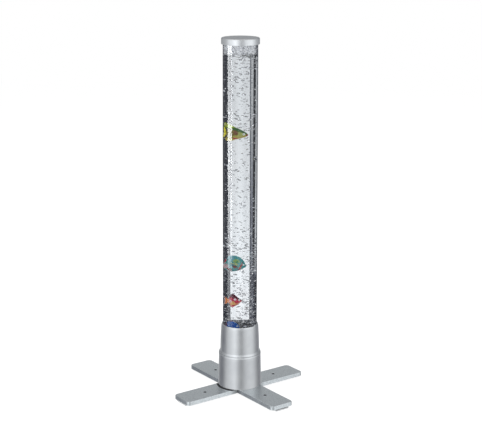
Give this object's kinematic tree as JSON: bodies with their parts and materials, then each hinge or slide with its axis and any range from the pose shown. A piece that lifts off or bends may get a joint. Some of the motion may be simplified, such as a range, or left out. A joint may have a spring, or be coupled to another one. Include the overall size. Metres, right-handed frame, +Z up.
{
  "type": "bubble tube floor lamp",
  "caption": "Floor lamp: clear water-filled tube with floating fish and rising air bubbles, on a round satin base with crossed bar feet.",
  "frame": {"origin": "on the floor, on the tube's axis, centred under the crossed bars", "axes": "+Z up along the tube; -Y is the front, between two bars; +X to the right"},
  "size_m": [0.3416, 0.3416, 1.045],
  "materials": {
    "satin_silver": "satin, silver anodised",
    "bar_silver": "satin, silver anodised",
    "pad_rubber": "matt",
    "zinc_steel": "zinc plated",
    "clear_acrylic": "clear, polished",
    "clear_silicone": "translucent, soft",
    "white_plastic": "moulded",
    "air_stone": "porous, sintered grit",
    "black_plastic": "moulded",
    "copper_winding": "enamelled copper wire on a steel core",
    "amber_plastic": "moulded",
    "black_rubber": "matt",
    "board_green": "solder mask",
    "led_lens": "moulded lens",
    "white_foam": "closed cell foam",
    "grey_button": "moulded",
    "yellow_fish_paint": "painted, glossy",
    "teal_fish_paint": "painted, glossy",
    "red_fish_paint": "painted, glossy",
    "blue_fish_paint": "painted, glossy"
  },
  "bodies": {
    "stand": {"leg_bar_upper": "bar_silver", "leg_bar_lower": "bar_silver", "foot_pad_front_left": "pad_rubber", "foot_pad_front_right": "pad_rubber", "foot_pad_rear_left": "pad_rubber", "foot_pad_rear_right": "pad_rubber", "base_plate": "zinc_steel", "leg_screws": "zinc_steel", "lower_shell": "satin_silver", "shell_screws": "zinc_steel", "trim_ring": "satin_silver", "ring_screws": "zinc_steel", "upper_shell": "satin_silver", "tube_seal": "clear_silicone", "acrylic_tube": "clear_acrylic", "tube_foot_plate": "clear_acrylic", "air_inlet_nozzle": "white_plastic", "nozzle_nut": "white_plastic", "bubble_stone": "air_stone", "check_valve": "white_plastic", "air_hose_upper": "clear_silicone", "air_hose_lower": "clear_silicone", "pump_feet": "black_rubber", "pump_case": "black_plastic", "pump_cover": "black_plastic", "pump_coil": "copper_winding", "pump_diaphragm": "black_rubber", "pump_valve_box": "black_plastic", "led_board": "board_green", "led_chips": "led_lens", "led_board_screws": "zinc_steel", "control_board": "board_green", "board_screws": "zinc_steel", "button_switch": "black_plastic", "power_inlet": "black_plastic", "led_lead": "black_rubber", "pump_lead": "black_rubber"},
    "cap": {"top_cap": "satin_silver", "cap_seal": "white_foam"},
    "button": {"push_button": "grey_button"},
    "pump_lever": {"pump_arm": "amber_plastic"},
    "yellow_swimmer": {"fish_yellow": "yellow_fish_paint"},
    "teal_swimmer": {"fish_teal": "teal_fish_paint"},
    "red_swimmer": {"fish_red": "red_fish_paint"},
    "blue_swimmer": {"fish_blue": "blue_fish_paint"}
  },
  "joints": [
    {"name": "cap_lift", "type": "slide", "parent": "stand", "child": "cap", "axis": [0, 0, 1], "range_m": [0, 0.05]},
    {"name": "button_press", "type": "slide", "parent": "stand", "child": "button", "axis": [0, -1, 0], "range_m": [0, 0.0015], "stiffness_N_per_m": 300},
    {"name": "pump_arm_swing", "type": "hinge", "parent": "stand", "child": "pump_lever", "pos_m": [0.011, -0.014, 0.039], "axis": [0, 0, 1], "range_deg": [-2, 2], "stiffness_Nm_per_rad": 0.05, "deforming": ["pump_diaphragm"]},
    {"name": "yellow_swim", "type": "slide", "parent": "stand", "child": "yellow_swimmer", "axis": [0, 0, 1], "range_m": [-0.602, 0.187]},
    {"name": "teal_swim", "type": "slide", "parent": "stand", "child": "teal_swimmer", "axis": [0, 0, 1], "range_m": [-0.214, 0.579]},
    {"name": "red_swim", "type": "slide", "parent": "stand", "child": "red_swimmer", "axis": [0, 0, 1], "range_m": [-0.11, 0.692]},
    {"name": "blue_swim", "type": "slide", "parent": "stand", "child": "blue_swimmer", "axis": [0, 0, 1], "range_m": [-0.037, 0.771]}
  ]
}
